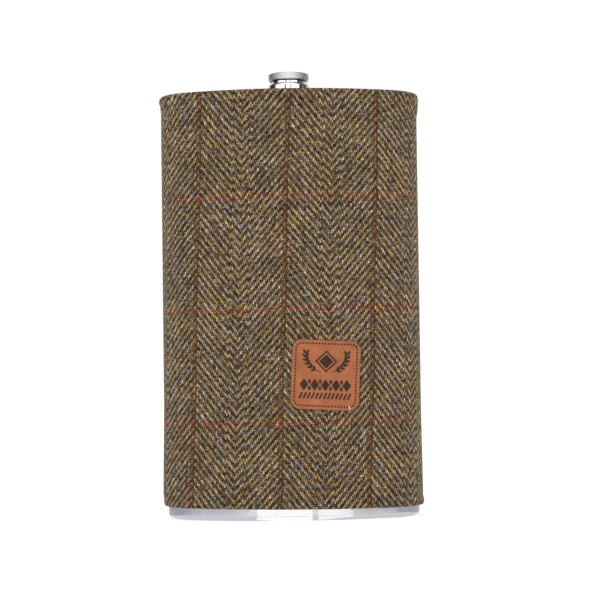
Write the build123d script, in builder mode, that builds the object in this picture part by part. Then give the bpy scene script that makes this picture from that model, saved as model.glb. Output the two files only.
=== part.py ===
"""Stainless steel hip flask in a tweed wrap, with a knurled screw cap.

Millimetres, +Z up. The origin is the middle of the face that the flask stands on.
The rounded front faces -Y, and the hollow back, which lies against the hip, faces +Y.
"""

import os
from math import sqrt

from build123d import *

os.makedirs("parts", exist_ok=True)

# Cross-section of the steel body: four arcs that meet smoothly, like a kidney
body_width = 152.0
front_radius = 160.0
back_radius = 240.0
end_radius = 25.0
end_x = body_width / 2 - end_radius
front_drop = sqrt((front_radius - end_radius) ** 2 - end_x**2)
back_drop = sqrt((back_radius + end_radius) ** 2 - end_x**2)
body_depth = front_radius - front_drop + end_radius
end_y = body_depth / 2 - end_radius
front_centre_y = end_y + front_drop
back_centre_y = end_y + back_drop
front_y = front_centre_y - front_radius
back_y = back_centre_y - back_radius

# Steel body
body_height = 254.5
wall = 0.8
plate_sheet = 0.9
plate_height = 8.0
rim_radius = 3.0

# Wrap: stiff backing glued to the steel, and tweed folded over both its edges
glue_gap = 0.05
backing_thickness = 0.85
cloth_thickness = 0.85
hem_height = 2.8
hem_swell = 0.8
hem_round = 1.0
wrap_low = 6.8
wrap_high = 255.4
backing_face = glue_gap + backing_thickness
cloth_back = backing_face + glue_gap
cloth_face = cloth_back + cloth_thickness

# Closing seam down the middle of the back, whipped together with thread
seam_stitch_pitch = 6.0
seam_stitch_length = 3.4
seam_thread_width = 0.5
seam_margin = 8.0

# Leather patch, sewn on a little crooked
patch_x = 19.65
patch_z = 85.45
patch_width = 40.5
patch_height = 41.0
patch_corner = 5.7
patch_thickness = 1.4
patch_tilt = -3.2
stitch_inset = 2.15
stitch_count = 76
stitch_length = 1.3
stitch_width = 0.45
stitch_height = 0.25

# Neck: a threaded spout through the shoulder, inside a polished collar
neck_y = (front_y + back_y) / 2
bore_radius = 7.2
spout_radius = 8.3
spout_lip_edge = 0.25
spout_flange_radius = 10.5
spout_flange = 0.85
spout_hole_gap = 0.05
collar_radius = 12.8
collar_bore = 10.5
collar_height = 7.3
collar_round = 1.7

# Thread: one start, right-handed, with play between the flanks
thread_pitch = 2.5
thread_depth = 0.8
thread_root = 1.1
thread_crest = 0.4
thread_bite = 0.15
thread_play = 0.25
spout_thread_start = 256.9
spout_thread_length = 7.4

# Cap: knurled shell pressed over a threaded insert, with a seal under its roof
cap_radius = 12.25
cap_low = 263.6
cap_high = 267.9
cap_roof = 1.0
cap_edge = 0.45
cap_foot_edge = 0.22
insert_radius = 10.3
press_gap = 0.05
insert_bore = spout_radius + thread_depth + thread_play
skirt_radius = 10.1
skirt_low = 256.3
lip_radius = 10.4
lip_low = 262.05
lip_high = 263.1
groove_radius = 9.9
insert_roof = 0.6
seal_thickness = 0.8
seal_edge = 0.15
insert_high = cap_high - cap_roof - press_gap
ceiling = insert_high - insert_roof
spout_top = ceiling - seal_thickness - 2 * press_gap
insert_thread_start = spout_thread_start + thread_pitch / 2
insert_thread_length = 6.9

neck_axis = Axis((0, neck_y, 0), (0, 0, 1))
neck_profile_plane = Plane.XZ.offset(-neck_y)


def toward(centre, through, reach):
    """The point reach away from centre, on the way to through."""
    return centre + (through - centre).normalized() * reach


def flask_section(grow):
    """The body's outline as a face, offset outwards by grow."""
    front_centre = Vector(0, front_centre_y)
    back_centre = Vector(0, back_centre_y)
    right_end = Vector(end_x, end_y)
    left_end = Vector(-end_x, end_y)
    front_right = toward(front_centre, right_end, front_radius + grow)
    front_left = toward(front_centre, left_end, front_radius + grow)
    back_right = toward(back_centre, right_end, back_radius - grow)
    back_left = toward(back_centre, left_end, back_radius - grow)
    side = end_radius + grow
    with BuildSketch(Plane.XY, mode=Mode.PRIVATE) as section:
        with BuildLine():
            ThreePointArc(front_left, (0, front_y - grow), front_right)
            ThreePointArc(front_right, right_end + Vector(side, 0), back_right)
            ThreePointArc(back_right, (0, back_y + grow), back_left)
            ThreePointArc(back_left, left_end - Vector(side, 0), front_left)
        make_face()
    return section.sketch


def band(inner, outer, low, high):
    """A wall that follows the body, between two offsets and two heights."""
    with BuildPart(mode=Mode.PRIVATE) as ring:
        with BuildSketch(Plane.XY.offset(low)):
            add(flask_section(outer))
            add(flask_section(inner), mode=Mode.SUBTRACT)
        extrude(amount=high - low)
    return ring.part


def pressed_plate():
    """An end plate: a shallow tray with its flat floor at z = 0 and a rounded rim."""
    with BuildPart(mode=Mode.PRIVATE) as hollow:
        with BuildSketch(Plane.XY.offset(plate_sheet)):
            add(flask_section(-plate_sheet))
        extrude(amount=plate_height)
        fillet(hollow.edges().group_by(Axis.Z)[0], radius=rim_radius - plate_sheet)
    with BuildPart(mode=Mode.PRIVATE) as tray:
        with BuildSketch():
            add(flask_section(0))
        extrude(amount=plate_height)
        fillet(tray.edges().group_by(Axis.Z)[0], radius=rim_radius)
        add(hollow.part, mode=Mode.SUBTRACT)
    return tray.part


def thread_ridge(radius, depth, start, length):
    """A right-handed ridge around the neck axis. A negative depth points inwards."""
    bite = -thread_bite if depth > 0 else thread_bite
    with BuildPart(mode=Mode.PRIVATE) as ridge:
        with BuildLine() as route:
            Helix(pitch=thread_pitch, height=length, radius=radius, center=(0, neck_y, start))
        start_plane = Plane(route.line @ 0, x_dir=(1, 0, 0), z_dir=route.line % 0)
        with BuildSketch(start_plane):
            with BuildLine():
                Polyline(
                    (bite, -thread_root / 2),
                    (depth, -thread_crest / 2),
                    (depth, thread_crest / 2),
                    (bite, thread_root / 2),
                    close=True,
                )
            make_face()
        sweep(path=route.line, is_frenet=True)
    return ridge.part


# Steel body -----------------------------------------------------------------

with BuildPart() as body_shell:
    add(band(-wall, 0, plate_height, body_height - plate_height))
body_shell.part.label = "body_shell"
export_step(body_shell.part, "parts/body_shell.step")

with BuildPart() as base_plate:
    add(pressed_plate())
base_plate.part.label = "base_plate"
export_step(base_plate.part, "parts/base_plate.step")

with BuildPart() as shoulder_plate:
    mirror(pressed_plate(), about=Plane.XY.offset(body_height / 2))
    with Locations((0, neck_y, body_height)):
        Hole(radius=spout_radius + spout_hole_gap)
shoulder_plate.part.label = "shoulder_plate"
export_step(shoulder_plate.part, "parts/shoulder_plate.step")

# Neck -----------------------------------------------------------------------

with BuildPart() as neck_collar:
    with BuildSketch(Plane.XY.offset(body_height + glue_gap)):
        with Locations((0, neck_y)):
            Circle(collar_radius)
            Circle(collar_bore, mode=Mode.SUBTRACT)
    extrude(amount=collar_height)
    collar_rim = neck_collar.edges().group_by(Axis.Z)[-1].sort_by(SortBy.RADIUS)[-1]
    fillet(collar_rim, radius=collar_round)
neck_collar.part.label = "neck_collar"
export_step(neck_collar.part, "parts/neck_collar.step")

with BuildPart() as neck_spout:
    plate_underside = body_height - plate_sheet - spout_hole_gap
    flange_low = plate_underside - spout_flange
    with BuildSketch(neck_profile_plane):
        with BuildLine():
            Polyline(
                (bore_radius, flange_low),
                (spout_flange_radius, flange_low),
                (spout_flange_radius, plate_underside),
                (spout_radius, plate_underside),
                (spout_radius, spout_top),
                (bore_radius, spout_top),
                close=True,
            )
        make_face()
    revolve(axis=neck_axis)
    chamfer(neck_spout.edges().group_by(Axis.Z)[-1], length=spout_lip_edge)
    add(thread_ridge(spout_radius, thread_depth, spout_thread_start, spout_thread_length))
neck_spout.part.label = "neck_spout"
export_step(neck_spout.part, "parts/neck_spout.step")

# Wrap -----------------------------------------------------------------------

with BuildPart() as wrap_backing:
    add(band(glue_gap, backing_face, wrap_low + hem_height + glue_gap, wrap_high - hem_height - glue_gap))
wrap_backing.part.label = "wrap_backing"
export_step(wrap_backing.part, "parts/wrap_backing.step")

with BuildPart() as tweed_wrap:
    add(band(cloth_back, cloth_face, wrap_low, wrap_high))
    add(band(glue_gap, cloth_face + hem_swell, wrap_low, wrap_low + hem_height))
    add(band(glue_gap, cloth_face + hem_swell, wrap_high - hem_height, wrap_high))
    fillet(tweed_wrap.edges().group_by(Axis.Z)[-1], radius=hem_round)
    fillet(tweed_wrap.edges().group_by(Axis.Z)[0], radius=hem_round)
tweed_wrap.part.label = "tweed_wrap"
export_step(tweed_wrap.part, "parts/tweed_wrap.step")

with BuildPart() as seam_thread:
    seam_length = wrap_high - wrap_low - 2 * seam_margin
    seam_stitches = int(seam_length / seam_stitch_pitch) + 1
    seam_middle = (0, back_y + cloth_face + glue_gap, (wrap_low + wrap_high) / 2)
    with Locations(Plane(seam_middle, x_dir=(1, 0, 0), z_dir=(0, 1, 0))):
        with GridLocations(1, seam_stitch_pitch, 1, seam_stitches):
            Box(
                seam_stitch_length,
                seam_thread_width,
                seam_thread_width,
                align=(Align.CENTER, Align.CENTER, Align.MIN),
            )
seam_thread.part.label = "seam_thread"
export_step(seam_thread.part, "parts/seam_thread.step")

# Patch ----------------------------------------------------------------------

patch_face = cloth_face + glue_gap + patch_thickness
patch_plane = Plane((patch_x, -body_depth, patch_z), x_dir=(1, 0, 0), z_dir=(0, -1, 0))

with BuildPart() as leather_patch:
    add(band(cloth_face + glue_gap, patch_face, patch_z - patch_height, patch_z + patch_height))
    with BuildSketch(patch_plane):
        RectangleRounded(patch_width, patch_height, patch_corner, rotation=patch_tilt)
    extrude(amount=-body_depth, mode=Mode.INTERSECT)
leather_patch.part.label = "leather_patch"
export_step(leather_patch.part, "parts/leather_patch.step")


def patch_stitch_places():
    """Where each stitch lies: a place on the patch's curved face, turned along the seam."""
    seam_width = patch_width - 2 * stitch_inset
    seam_height = patch_height - 2 * stitch_inset
    seam_corner = patch_corner - stitch_inset
    with BuildSketch(patch_plane, mode=Mode.PRIVATE) as loop:
        RectangleRounded(seam_width, seam_height, seam_corner, rotation=patch_tilt)
    seam = loop.sketch.faces()[0].outer_wire()
    face_radius = front_radius + patch_face
    places = []
    for stitch in range(stitch_count):
        spot = seam @ (stitch / stitch_count)
        along = seam % (stitch / stitch_count)
        surface_y = front_centre_y - sqrt(face_radius**2 - spot.X**2)
        outward = Vector(spot.X, surface_y - front_centre_y, 0).normalized()
        flat_along = along - outward * along.dot(outward)
        places.append(Plane((spot.X, surface_y, spot.Z), x_dir=flat_along, z_dir=outward))
    return places


with BuildPart() as patch_thread:
    with Locations(*patch_stitch_places()):
        Box(
            stitch_length,
            stitch_width,
            stitch_height,
            align=(Align.CENTER, Align.CENTER, Align.MIN),
        )
patch_thread.part.label = "patch_thread"
export_step(patch_thread.part, "parts/patch_thread.step")

# Cap ------------------------------------------------------------------------

with BuildPart() as cap_shell:
    with BuildSketch(Plane.XY.offset(cap_low)):
        with Locations((0, neck_y)):
            Circle(cap_radius)
    extrude(amount=cap_high - cap_low)
    with BuildSketch(Plane.XY.offset(cap_low)):
        with Locations((0, neck_y)):
            Circle(insert_radius + press_gap)
    extrude(amount=cap_high - cap_low - cap_roof, mode=Mode.SUBTRACT)
    chamfer(cap_shell.edges().group_by(Axis.Z)[-1], length=cap_edge)
    cap_foot = cap_shell.edges().group_by(Axis.Z)[0].sort_by(SortBy.RADIUS)[-1]
    chamfer(cap_foot, length=cap_foot_edge)
cap_shell.part.label = "cap_shell"
export_step(cap_shell.part, "parts/cap_shell.step")

with BuildPart() as cap_insert:
    with BuildSketch(neck_profile_plane):
        with BuildLine():
            Polyline(
                (insert_bore, skirt_low),
                (skirt_radius, skirt_low),
                (skirt_radius, lip_low),
                (lip_radius, lip_low),
                (lip_radius, lip_high),
                (groove_radius, lip_high),
                (groove_radius, cap_low),
                (insert_radius, cap_low),
                (insert_radius, insert_high),
                (0, insert_high),
                (0, ceiling),
                (insert_bore, ceiling),
                close=True,
            )
        make_face()
    revolve(axis=neck_axis)
    add(thread_ridge(insert_bore, -thread_depth, insert_thread_start, insert_thread_length))
cap_insert.part.label = "cap_insert"
export_step(cap_insert.part, "parts/cap_insert.step")

with BuildPart() as cap_seal:
    with BuildSketch(Plane.XY.offset(spout_top + press_gap)):
        with Locations((0, neck_y)):
            Circle(insert_bore - press_gap)
    extrude(amount=seal_thickness)
    chamfer(cap_seal.edges(), length=seal_edge)
cap_seal.part.label = "cap_seal"
export_step(cap_seal.part, "parts/cap_seal.step")
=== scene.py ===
"""The looks of a tweed-wrapped steel hip flask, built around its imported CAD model. Metres, +Z up."""

import math

import bpy
import numpy as np
from mathutils import Matrix, Vector


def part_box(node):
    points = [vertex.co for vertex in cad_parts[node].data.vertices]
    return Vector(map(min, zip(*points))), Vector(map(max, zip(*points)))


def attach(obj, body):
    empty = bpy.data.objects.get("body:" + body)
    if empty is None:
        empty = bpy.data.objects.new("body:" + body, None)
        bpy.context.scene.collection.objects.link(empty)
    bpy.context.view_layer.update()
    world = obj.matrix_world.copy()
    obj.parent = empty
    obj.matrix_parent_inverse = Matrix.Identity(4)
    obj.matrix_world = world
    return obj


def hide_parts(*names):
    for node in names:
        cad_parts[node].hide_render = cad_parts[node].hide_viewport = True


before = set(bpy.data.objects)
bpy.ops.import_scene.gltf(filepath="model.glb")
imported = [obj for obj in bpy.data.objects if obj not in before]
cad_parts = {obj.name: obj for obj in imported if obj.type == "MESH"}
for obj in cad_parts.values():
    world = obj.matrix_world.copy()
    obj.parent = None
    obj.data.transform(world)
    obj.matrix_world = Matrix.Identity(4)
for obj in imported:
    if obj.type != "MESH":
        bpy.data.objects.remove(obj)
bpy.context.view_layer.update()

MM = 0.001
TAU = 2 * math.pi

# ---- measures of the flask

body_low, body_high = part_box("base_plate")
wrap_low, wrap_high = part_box("tweed_wrap")
patch_low, patch_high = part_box("leather_patch")
seam_low, seam_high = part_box("seam_thread")
cap_low, cap_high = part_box("cap_shell")
NECK_Y = (cap_low.y + cap_high.y) / 2

# The steel body's section is four arcs, as in the CAD model
FRONT_RADIUS = 160 * MM
BACK_RADIUS = 240 * MM
END_RADIUS = 25 * MM
END_X = body_high.x - END_RADIUS
FRONT_DROP = math.sqrt((FRONT_RADIUS - END_RADIUS) ** 2 - END_X**2)
BACK_DROP = math.sqrt((BACK_RADIUS + END_RADIUS) ** 2 - END_X**2)
END_Y = (FRONT_RADIUS - FRONT_DROP + END_RADIUS) / 2 - END_RADIUS
FRONT_CENTRE_Y = END_Y + FRONT_DROP
BACK_CENTRE_Y = END_Y + BACK_DROP

CLOTH_FACE = 1.8 * MM
HEM_FACE = 2.45 * MM
HEM_INNER = 0.15 * MM

FRONT_TURN = math.asin(END_X / (FRONT_RADIUS - END_RADIUS))
BACK_TURN = math.asin(END_X / (BACK_RADIUS + END_RADIUS))
END_TURN = math.pi - FRONT_TURN + BACK_TURN
FRONT_RUN = FRONT_TURN * (FRONT_RADIUS + CLOTH_FACE)
END_RUN = END_TURN * (END_RADIUS + CLOTH_FACE)
BACK_RUN = BACK_TURN * (BACK_RADIUS - CLOTH_FACE)
HALF_GIRTH = FRONT_RUN + END_RUN + BACK_RUN


def section(s, offset):
    """Points and outward normals of the body's section at arc length s from the front middle.

    s is measured on the cloth's face, positive towards +X. offset is the distance from the steel."""
    reach = np.abs(s)
    side = np.where(s < 0, -1.0, 1.0)
    front = reach / (FRONT_RADIUS + CLOTH_FACE)
    end = (reach - FRONT_RUN) / (END_RADIUS + CLOTH_FACE) + FRONT_TURN - math.pi / 2
    back = (HALF_GIRTH - reach) / (BACK_RADIUS - CLOTH_FACE)

    def by_zone(on_front, on_end, on_back):
        return np.select([reach <= FRONT_RUN, reach <= FRONT_RUN + END_RUN], [on_front, on_end], on_back)

    normal_x = by_zone(np.sin(front), np.cos(end), -np.sin(back))
    normal_y = by_zone(-np.cos(front), np.sin(end), np.cos(back))
    radius = by_zone(FRONT_RADIUS, END_RADIUS, -BACK_RADIUS) + offset
    x = by_zone(0.0, END_X, 0.0) + normal_x * radius
    y = by_zone(FRONT_CENTRE_Y, END_Y, BACK_CENTRE_Y) + normal_y * radius
    return x * side, y, normal_x * side, normal_y


# ---- node and mesh helpers


def operator(operation, backwards=False):
    """An operator of Wire that adds a math node."""
    def add_node(*values):
        return values[0].nodes.math(operation, *(values[::-1] if backwards else values))
    return add_node


class Wire:
    """A node's output, which can be used in sums."""

    def __init__(self, nodes, socket):
        self.nodes = nodes
        self.socket = socket

    __add__ = operator("ADD")
    __sub__ = operator("SUBTRACT")
    __rsub__ = operator("SUBTRACT", backwards=True)
    __mul__ = operator("MULTIPLY")
    __truediv__ = operator("DIVIDE")
    __pow__ = operator("POWER")
    __mod__ = operator("FLOORED_MODULO")
    __lt__ = operator("LESS_THAN")
    __abs__ = operator("ABSOLUTE")


class Nodes:
    """Short calls that add nodes to a tree and link them."""

    def __init__(self, tree):
        self.tree = tree

    def node(self, kind, **settings):
        made = self.tree.nodes.new(kind)
        for key, value in settings.items():
            setattr(made, key, value)
        return made

    def feed(self, socket, value):
        """Links a socket, or sets a plain number, colour or vector."""
        if isinstance(value, Wire):
            self.tree.links.new(value.socket, socket)
        elif value is not None:
            socket.default_value = value

    def wired(self, kind, values, output=0, **settings):
        """The output of a new node, whose inputs are fed by position or by name."""
        new = self.node(kind, **settings)
        for key, value in (values.items() if isinstance(values, dict) else enumerate(values)):
            self.feed(new.inputs[key], value)
        return Wire(self, new.outputs[output])

    def math(self, operation, *values):
        return self.wired("ShaderNodeMath", values, operation=operation)

    def spread(self, value, low, high, new_low=0.0, new_high=1.0):
        """value moved from one range to another, smoothly and clamped."""
        values = (value, low, high, new_low, new_high)
        return self.wired("ShaderNodeMapRange", values, interpolation_type="SMOOTHSTEP")

    def mix(self, factor, a, b, blend="MIX"):
        """Colour a where factor is 0, b where it is 1."""
        return self.wired("ShaderNodeMix", {0: factor, 6: a, 7: b}, 2, data_type="RGBA", blend_type=blend)

    def mix_number(self, factor, a, b):
        """Number a where factor is 0, b where it is 1."""
        return self.wired("ShaderNodeMix", {0: factor, 2: a, 3: b}, 0, data_type="FLOAT")

    def mix_vector(self, factor, a, b):
        """Vector a where factor is 0, b where it is 1."""
        return self.wired("ShaderNodeMix", {0: factor, 4: a, 5: b}, 1, data_type="VECTOR")

    def vector(self, x=0.0, y=0.0, z=0.0):
        return self.wired("ShaderNodeCombineXYZ", (x, y, z))

    def split(self, vector):
        parts = self.node("ShaderNodeSeparateXYZ")
        self.feed(parts.inputs[0], vector)
        return [Wire(self, part) for part in parts.outputs]

    def object_place(self):
        return self.wired("ShaderNodeTexCoord", (), "Object")

    def attribute(self, name, output="Fac"):
        return self.wired("ShaderNodeAttribute", (), output, attribute_name=name)

    def distance(self, x, y):
        """Length of the level step x, y."""
        return self.math("SQRT", x**2.0 + y**2.0)

    def scaled(self, vector, scale):
        return self.wired("ShaderNodeVectorMath", (vector, scale), operation="MULTIPLY")

    def noise(self, vector, scale, detail=2.0, roughness=0.5):
        values = {"Vector": vector, "Scale": scale, "Detail": detail, "Roughness": roughness}
        return self.wired("ShaderNodeTexNoise", values, "Fac")

    def cell_edges(self, vector, scale):
        """Distance from the edges between random cells."""
        values = {"Vector": vector, "Scale": scale, "Randomness": 1.0}
        return self.wired("ShaderNodeTexVoronoi", values, "Distance", feature="DISTANCE_TO_EDGE")

    def chance(self, x, y, z):
        """An even random number for each whole-number place."""
        values = {"Vector": self.vector(x, y, z)}
        return self.wired("ShaderNodeTexWhiteNoise", values, "Value", noise_dimensions="3D")

    def ramp(self, factor, stops, interpolation="LINEAR"):
        """Colours by factor. A stop is its place, then red, green, blue as for srgb, or a linear colour."""
        new = self.node("ShaderNodeValToRGB")
        new.color_ramp.interpolation = interpolation
        elements = new.color_ramp.elements
        while len(elements) < len(stops):
            elements.new(0.5)
        for element, (place, *colour) in zip(elements, stops):
            element.position = place
            element.color = srgb(*colour) if len(colour) == 3 else colour[0]
        self.feed(new.inputs[0], factor)
        return Wire(self, new.outputs[0])

    def bump(self, height, distance, strength):
        values = {"Strength": strength, "Distance": distance, "Height": height}
        return self.wired("ShaderNodeBump", values)


class Shader(Nodes):
    """A material with one Principled shader, and the nodes that feed it."""

    def __init__(self, name):
        self.material = bpy.data.materials.new(name)
        self.material.use_nodes = True
        super().__init__(self.material.node_tree)
        self.principled = self.tree.nodes["Principled BSDF"]

    def finish(self, **sockets):
        for name, value in sockets.items():
            self.feed(self.principled.inputs[name.replace("_", " ")], value)
        return self.material


def srgb(red, green, blue):
    """A colour given as 0 to 255 display values, as the linear colour that shaders take."""
    def linear(value):
        value = value / 255
        return value / 12.92 if value <= 0.04045 else ((value + 0.055) / 1.055) ** 2.4
    return (linear(red), linear(green), linear(blue), 1.0)


def shared_stops(wools):
    """Ramp stops that give each wool its share of the range."""
    whole = sum(share for share, *_ in wools)
    place, stops = 0.0, []
    for share, *colour in wools:
        stops.append((place, *colour))
        place += share / whole
    return stops


def new_object(name, data):
    """An object in the scene that holds a mesh, a lamp or a camera."""
    made = bpy.data.objects.new(name, data)
    bpy.context.scene.collection.objects.link(made)
    return made


def mesh_piece(name, points, faces, material, smooth=True):
    """A mesh object from an array of points and a list of faces."""
    mesh = bpy.data.meshes.new(name)
    mesh.from_pydata([tuple(p) for p in np.asarray(points, float)], [], faces)
    mesh.validate()
    mesh.update()
    if smooth:
        mesh.shade_smooth()
    mesh.materials.append(material)
    return new_object(name, mesh)


def grid_faces(rows, columns, closed=False):
    """Faces of a grid whose points run along each row in turn. closed joins the last column to the first."""
    span = columns if closed else columns - 1
    faces = []
    for row in range(rows - 1):
        for column in range(span):
            beside = (column + 1) % columns
            low, high = row * columns, (row + 1) * columns
            faces.append((low + column, low + beside, high + beside, high + column))
    return faces


def point_attribute(piece, name, values, kind="FLOAT"):
    """Stores one number or one vector per point, for a shader to read."""
    store = piece.data.attributes.new(name, kind, "POINT")
    key = "value" if kind == "FLOAT" else "vector"
    store.data.foreach_set(key, np.asarray(values, np.float32).ravel())


def smoothstep(value, low, high):
    t = np.clip((value - low) / (high - low), 0, 1)
    return t * t * (3 - 2 * t)


def hand_over(piece, body, replaced=None):
    """Parents the piece to its body's empty, and hides the CAD node it replaces."""
    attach(piece, body)
    if replaced:
        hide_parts(replaced)


def dress(node, material):
    """Gives a CAD node's object its finished material."""
    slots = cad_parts[node].data.materials
    slots.clear()
    slots.append(material)


# ---- tweed weave

# Spacing of the upright yarns, the ends, and of the level yarns, the picks
REPEAT_ENDS = 54
REPEATS_ROUND = 7
END_PITCH = 2 * HALF_GIRTH / (REPEAT_ENDS * REPEATS_ROUND)
PICK_PITCH = 1.19375 * MM
# The twill jumps by two steps at this many ends from each valley
BREAK_ENDS = 5.5
# The red overcheck's repeat, first pick and thickness, in picks
RED_REPEAT = 56
RED_PICK = 46
RED_PICKS = 2
# The cloth was wrapped slightly askew, and pulls in gentle waves
LINE_AT = -3.9 * MM
LEAN = 0.0335
LEAN_LEVEL = 163.0 * MM
SLOPE_SWING = 0.7 * MM
WAVE = 0.35 * MM
# How far the sleeve stands off the steel at its ends: by the foot, by the top hem, and all the way up
LEFT_FOOT, LEFT_TOP, LEFT_STAND = 0.9 * MM, 0.5 * MM, 0.5 * MM
RIGHT_FOOT, RIGHT_TOP = 0.5 * MM, 1.0 * MM
FOOT_TILT = 0.5 * MM


def weave_phase(end, pick):
    """Where a crossing lies in the four-step twill. Below 2 the upright yarn is on top."""
    place = np.mod(end, REPEAT_ENDS)
    fold = np.minimum(place, REPEAT_ENDS - place)
    shifted = np.where(np.abs(place - REPEAT_ENDS / 2) < BREAK_ENDS, 2, 0)
    return np.mod(pick + fold + shifted, 4)


# The mixed wools of the upright and of the level yarns: share, red, green, blue
LIGHT_WOOLS = [
    (12, 224, 170, 66), (12, 208, 172, 128), (10, 196, 156, 80), (12, 234, 212, 172),
    (9, 202, 164, 130), (13, 184, 178, 180), (11, 214, 178, 120), (8, 168, 158, 96),
    (6, 236, 194, 92), (7, 180, 142, 100), (5, 112, 96, 82), (4, 90, 92, 88),
]
DARK_WOOLS = [
    (10, 60, 73, 72), (11, 57, 56, 74), (15, 84, 60, 46), (12, 67, 60, 55), (9, 99, 85, 58),
    (7, 56, 72, 76), (7, 126, 114, 102), (6, 92, 56, 42), (6, 130, 122, 132), (7, 75, 78, 60),
    (3, 174, 150, 114), (3, 158, 126, 78), (12, 44, 40, 40),
]
# The overchecks' yarns, each fading to a second tone, and the yarns beside the rust one
RUST, RUST_FAR = srgb(220, 144, 32), srgb(184, 112, 34)
BEFORE_RUST, AFTER_RUST = srgb(172, 104, 44), srgb(104, 66, 38)
RED, RED_WORN = srgb(186, 42, 40), srgb(140, 52, 42)


def tweed():
    """Two-up two-down herringbone in mixed wool yarns, with rust and red overchecks."""
    s = Shader("herringbone_tweed")
    end, pick, _ = s.split(s.attribute("weave", "Vector"))
    end, pick = loosened(s, end, pick)
    end_number, end_part = s.math("FLOOR", end), s.math("FRACT", end)
    pick_number, pick_part = s.math("FLOOR", pick), s.math("FRACT", pick)

    # The same steps as in weave_phase: below 2 the upright yarn is on top
    in_repeat = end_number % REPEAT_ENDS
    fold = s.math("MINIMUM", in_repeat, REPEAT_ENDS - in_repeat)
    shifted = (abs(in_repeat - REPEAT_ENDS / 2) < BREAK_ENDS) * 2.0
    phase = (pick_number + fold + shifted) % 4.0
    end_on_top = phase < 1.5

    # Place along each float, from 0 to 1 over its two crossings, and where the float starts
    end_along = (phase + pick_part) * 0.5
    end_start = pick_number - phase
    rising = in_repeat < REPEAT_ENDS / 2
    later = phase - 2.0
    pick_along = s.mix_number(rising, 1.0 - later + end_part, later + end_part) * 0.5
    pick_start = s.mix_number(rising, end_number + later, end_number - later)
    end_chance = s.chance(end_number, end_start, 5.0)
    pick_chance = s.chance(pick_start, pick_number, 9.0)
    end_height = yarn_height(s, end_part, end_along, s.chance(end_number, end_start, 15.0))
    pick_height = yarn_height(s, pick_part, pick_along, s.chance(pick_start, pick_number, 19.0))
    height = s.mix_number(end_on_top, pick_height * 0.8, end_height)

    # The wools are blended before spinning, so the colour also changes along a float
    blend_chance = s.chance(end_number, pick_number, 33.0)
    blended = s.spread(s.chance(end_number, pick_number, 41.0), 0.35, 0.75, 0.0, 0.75)

    def wool(float_chance, wools):
        stops = shared_stops(wools)
        first = s.ramp(float_chance, stops, "CONSTANT")
        return s.mix(blended, first, s.ramp(blend_chance, stops, "CONSTANT"))

    end_colour = wool(end_chance, LIGHT_WOOLS)
    end_colour = s.mix(in_repeat < 0.5, end_colour, s.ramp(end_chance, [(0.0, RUST), (1.0, RUST_FAR)]))
    end_colour = s.mix(s.math("COMPARE", in_repeat, 1.0, 0.1), end_colour, AFTER_RUST)
    end_colour = s.mix(s.math("COMPARE", in_repeat, REPEAT_ENDS - 1.0, 0.1), end_colour, BEFORE_RUST)
    pick_colour = wool(pick_chance, DARK_WOOLS)
    is_red = (pick_number - RED_PICK) % RED_REPEAT < RED_PICKS - 0.5
    pick_colour = s.mix(is_red, pick_colour, s.ramp(pick_chance, [(0.0, RED), (1.0, RED_WORN)]))
    colour = s.mix(end_on_top, pick_colour, end_colour)

    # Spun fibres run along each yarn, with flecks of the other wools in them
    along_pick = s.vector(end * 1.6, pick * 5.5, 4.0)
    along_end = s.vector(end * 5.5, pick * 1.6, 0.0)
    fibre_place = s.mix_vector(end_on_top, along_pick, along_end)
    fibre = s.noise(fibre_place, 1.0, 4.0, 0.75)
    streak = s.ramp(fibre, [(0.25, 84, 76, 70), (0.48, 204, 204, 204), (0.72, 255, 252, 244)])
    colour = s.mix(0.9, colour, streak, "MULTIPLY")
    fleck = s.spread(s.noise(fibre_place, 0.62, 2.0, 0.6), 0.53, 0.60, 0.0, 0.8)
    fleck_colour = s.ramp(s.noise(s.vector(end, pick, 50.0), 0.8, 1.0, 0.5), [
        (0.30, 48, 48, 54), (0.41, 176, 164, 150), (0.48, 74, 62, 54),
        (0.54, 206, 170, 104), (0.61, 70, 80, 78), (0.70, 220, 204, 180),
    ])
    colour = s.mix(fleck, colour, fleck_colour)
    patchy = s.spread(s.noise(s.vector(end, pick, 70.0), 0.06, 4.0, 0.8), 0.3, 0.7, 0.82, 1.18)
    worn = s.spread(s.chance(end_number, pick_number, 57.0), 0.0, 1.0, 0.68, 1.16)
    # Painted shade: darker where the yarns dip, at their sides and between floats, times random patches and
    # per-crossing tones
    shade = s.spread(height, 0.0, 0.7, 0.15, 1.15) * (patchy * worn)
    colour = s.scaled(colour, s.vector(shade, shade, shade))

    hair = s.noise(s.vector(end * 9.0, pick * 9.0, 3.0), 1.0, 3.0, 0.75)
    return s.finish(
        Base_Color=colour, Roughness=0.92, Sheen_Weight=0.06, Sheen_Roughness=0.6,
        Specular_IOR_Level=0.12, Normal=s.bump(height + hair * 0.4, 0.30 * MM, 0.9),
    )


def loosened(s, end, pick):
    """The weave's grid, pulled about by uneven yarns."""
    pull = 1.2
    aside = s.noise(s.vector(end, pick, 0.0), 0.9, 1.5, 0.6) - 0.5
    along = s.noise(s.vector(pick, end, 7.0), 0.9, 1.5, 0.6) - 0.5
    return end + aside * pull, pick + along * pull


def yarn_height(s, across, along, chance):
    """Height of a float: round across the yarn, arched along it, and fuller in some floats than others."""
    rounded = s.math("SINE", across * math.pi)
    arched = s.math("MAXIMUM", s.math("SINE", along * math.pi), 0.0)
    return rounded**0.8 * arched**0.7 * s.spread(chance, 0.0, 1.0, 0.55, 1.12)


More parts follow.
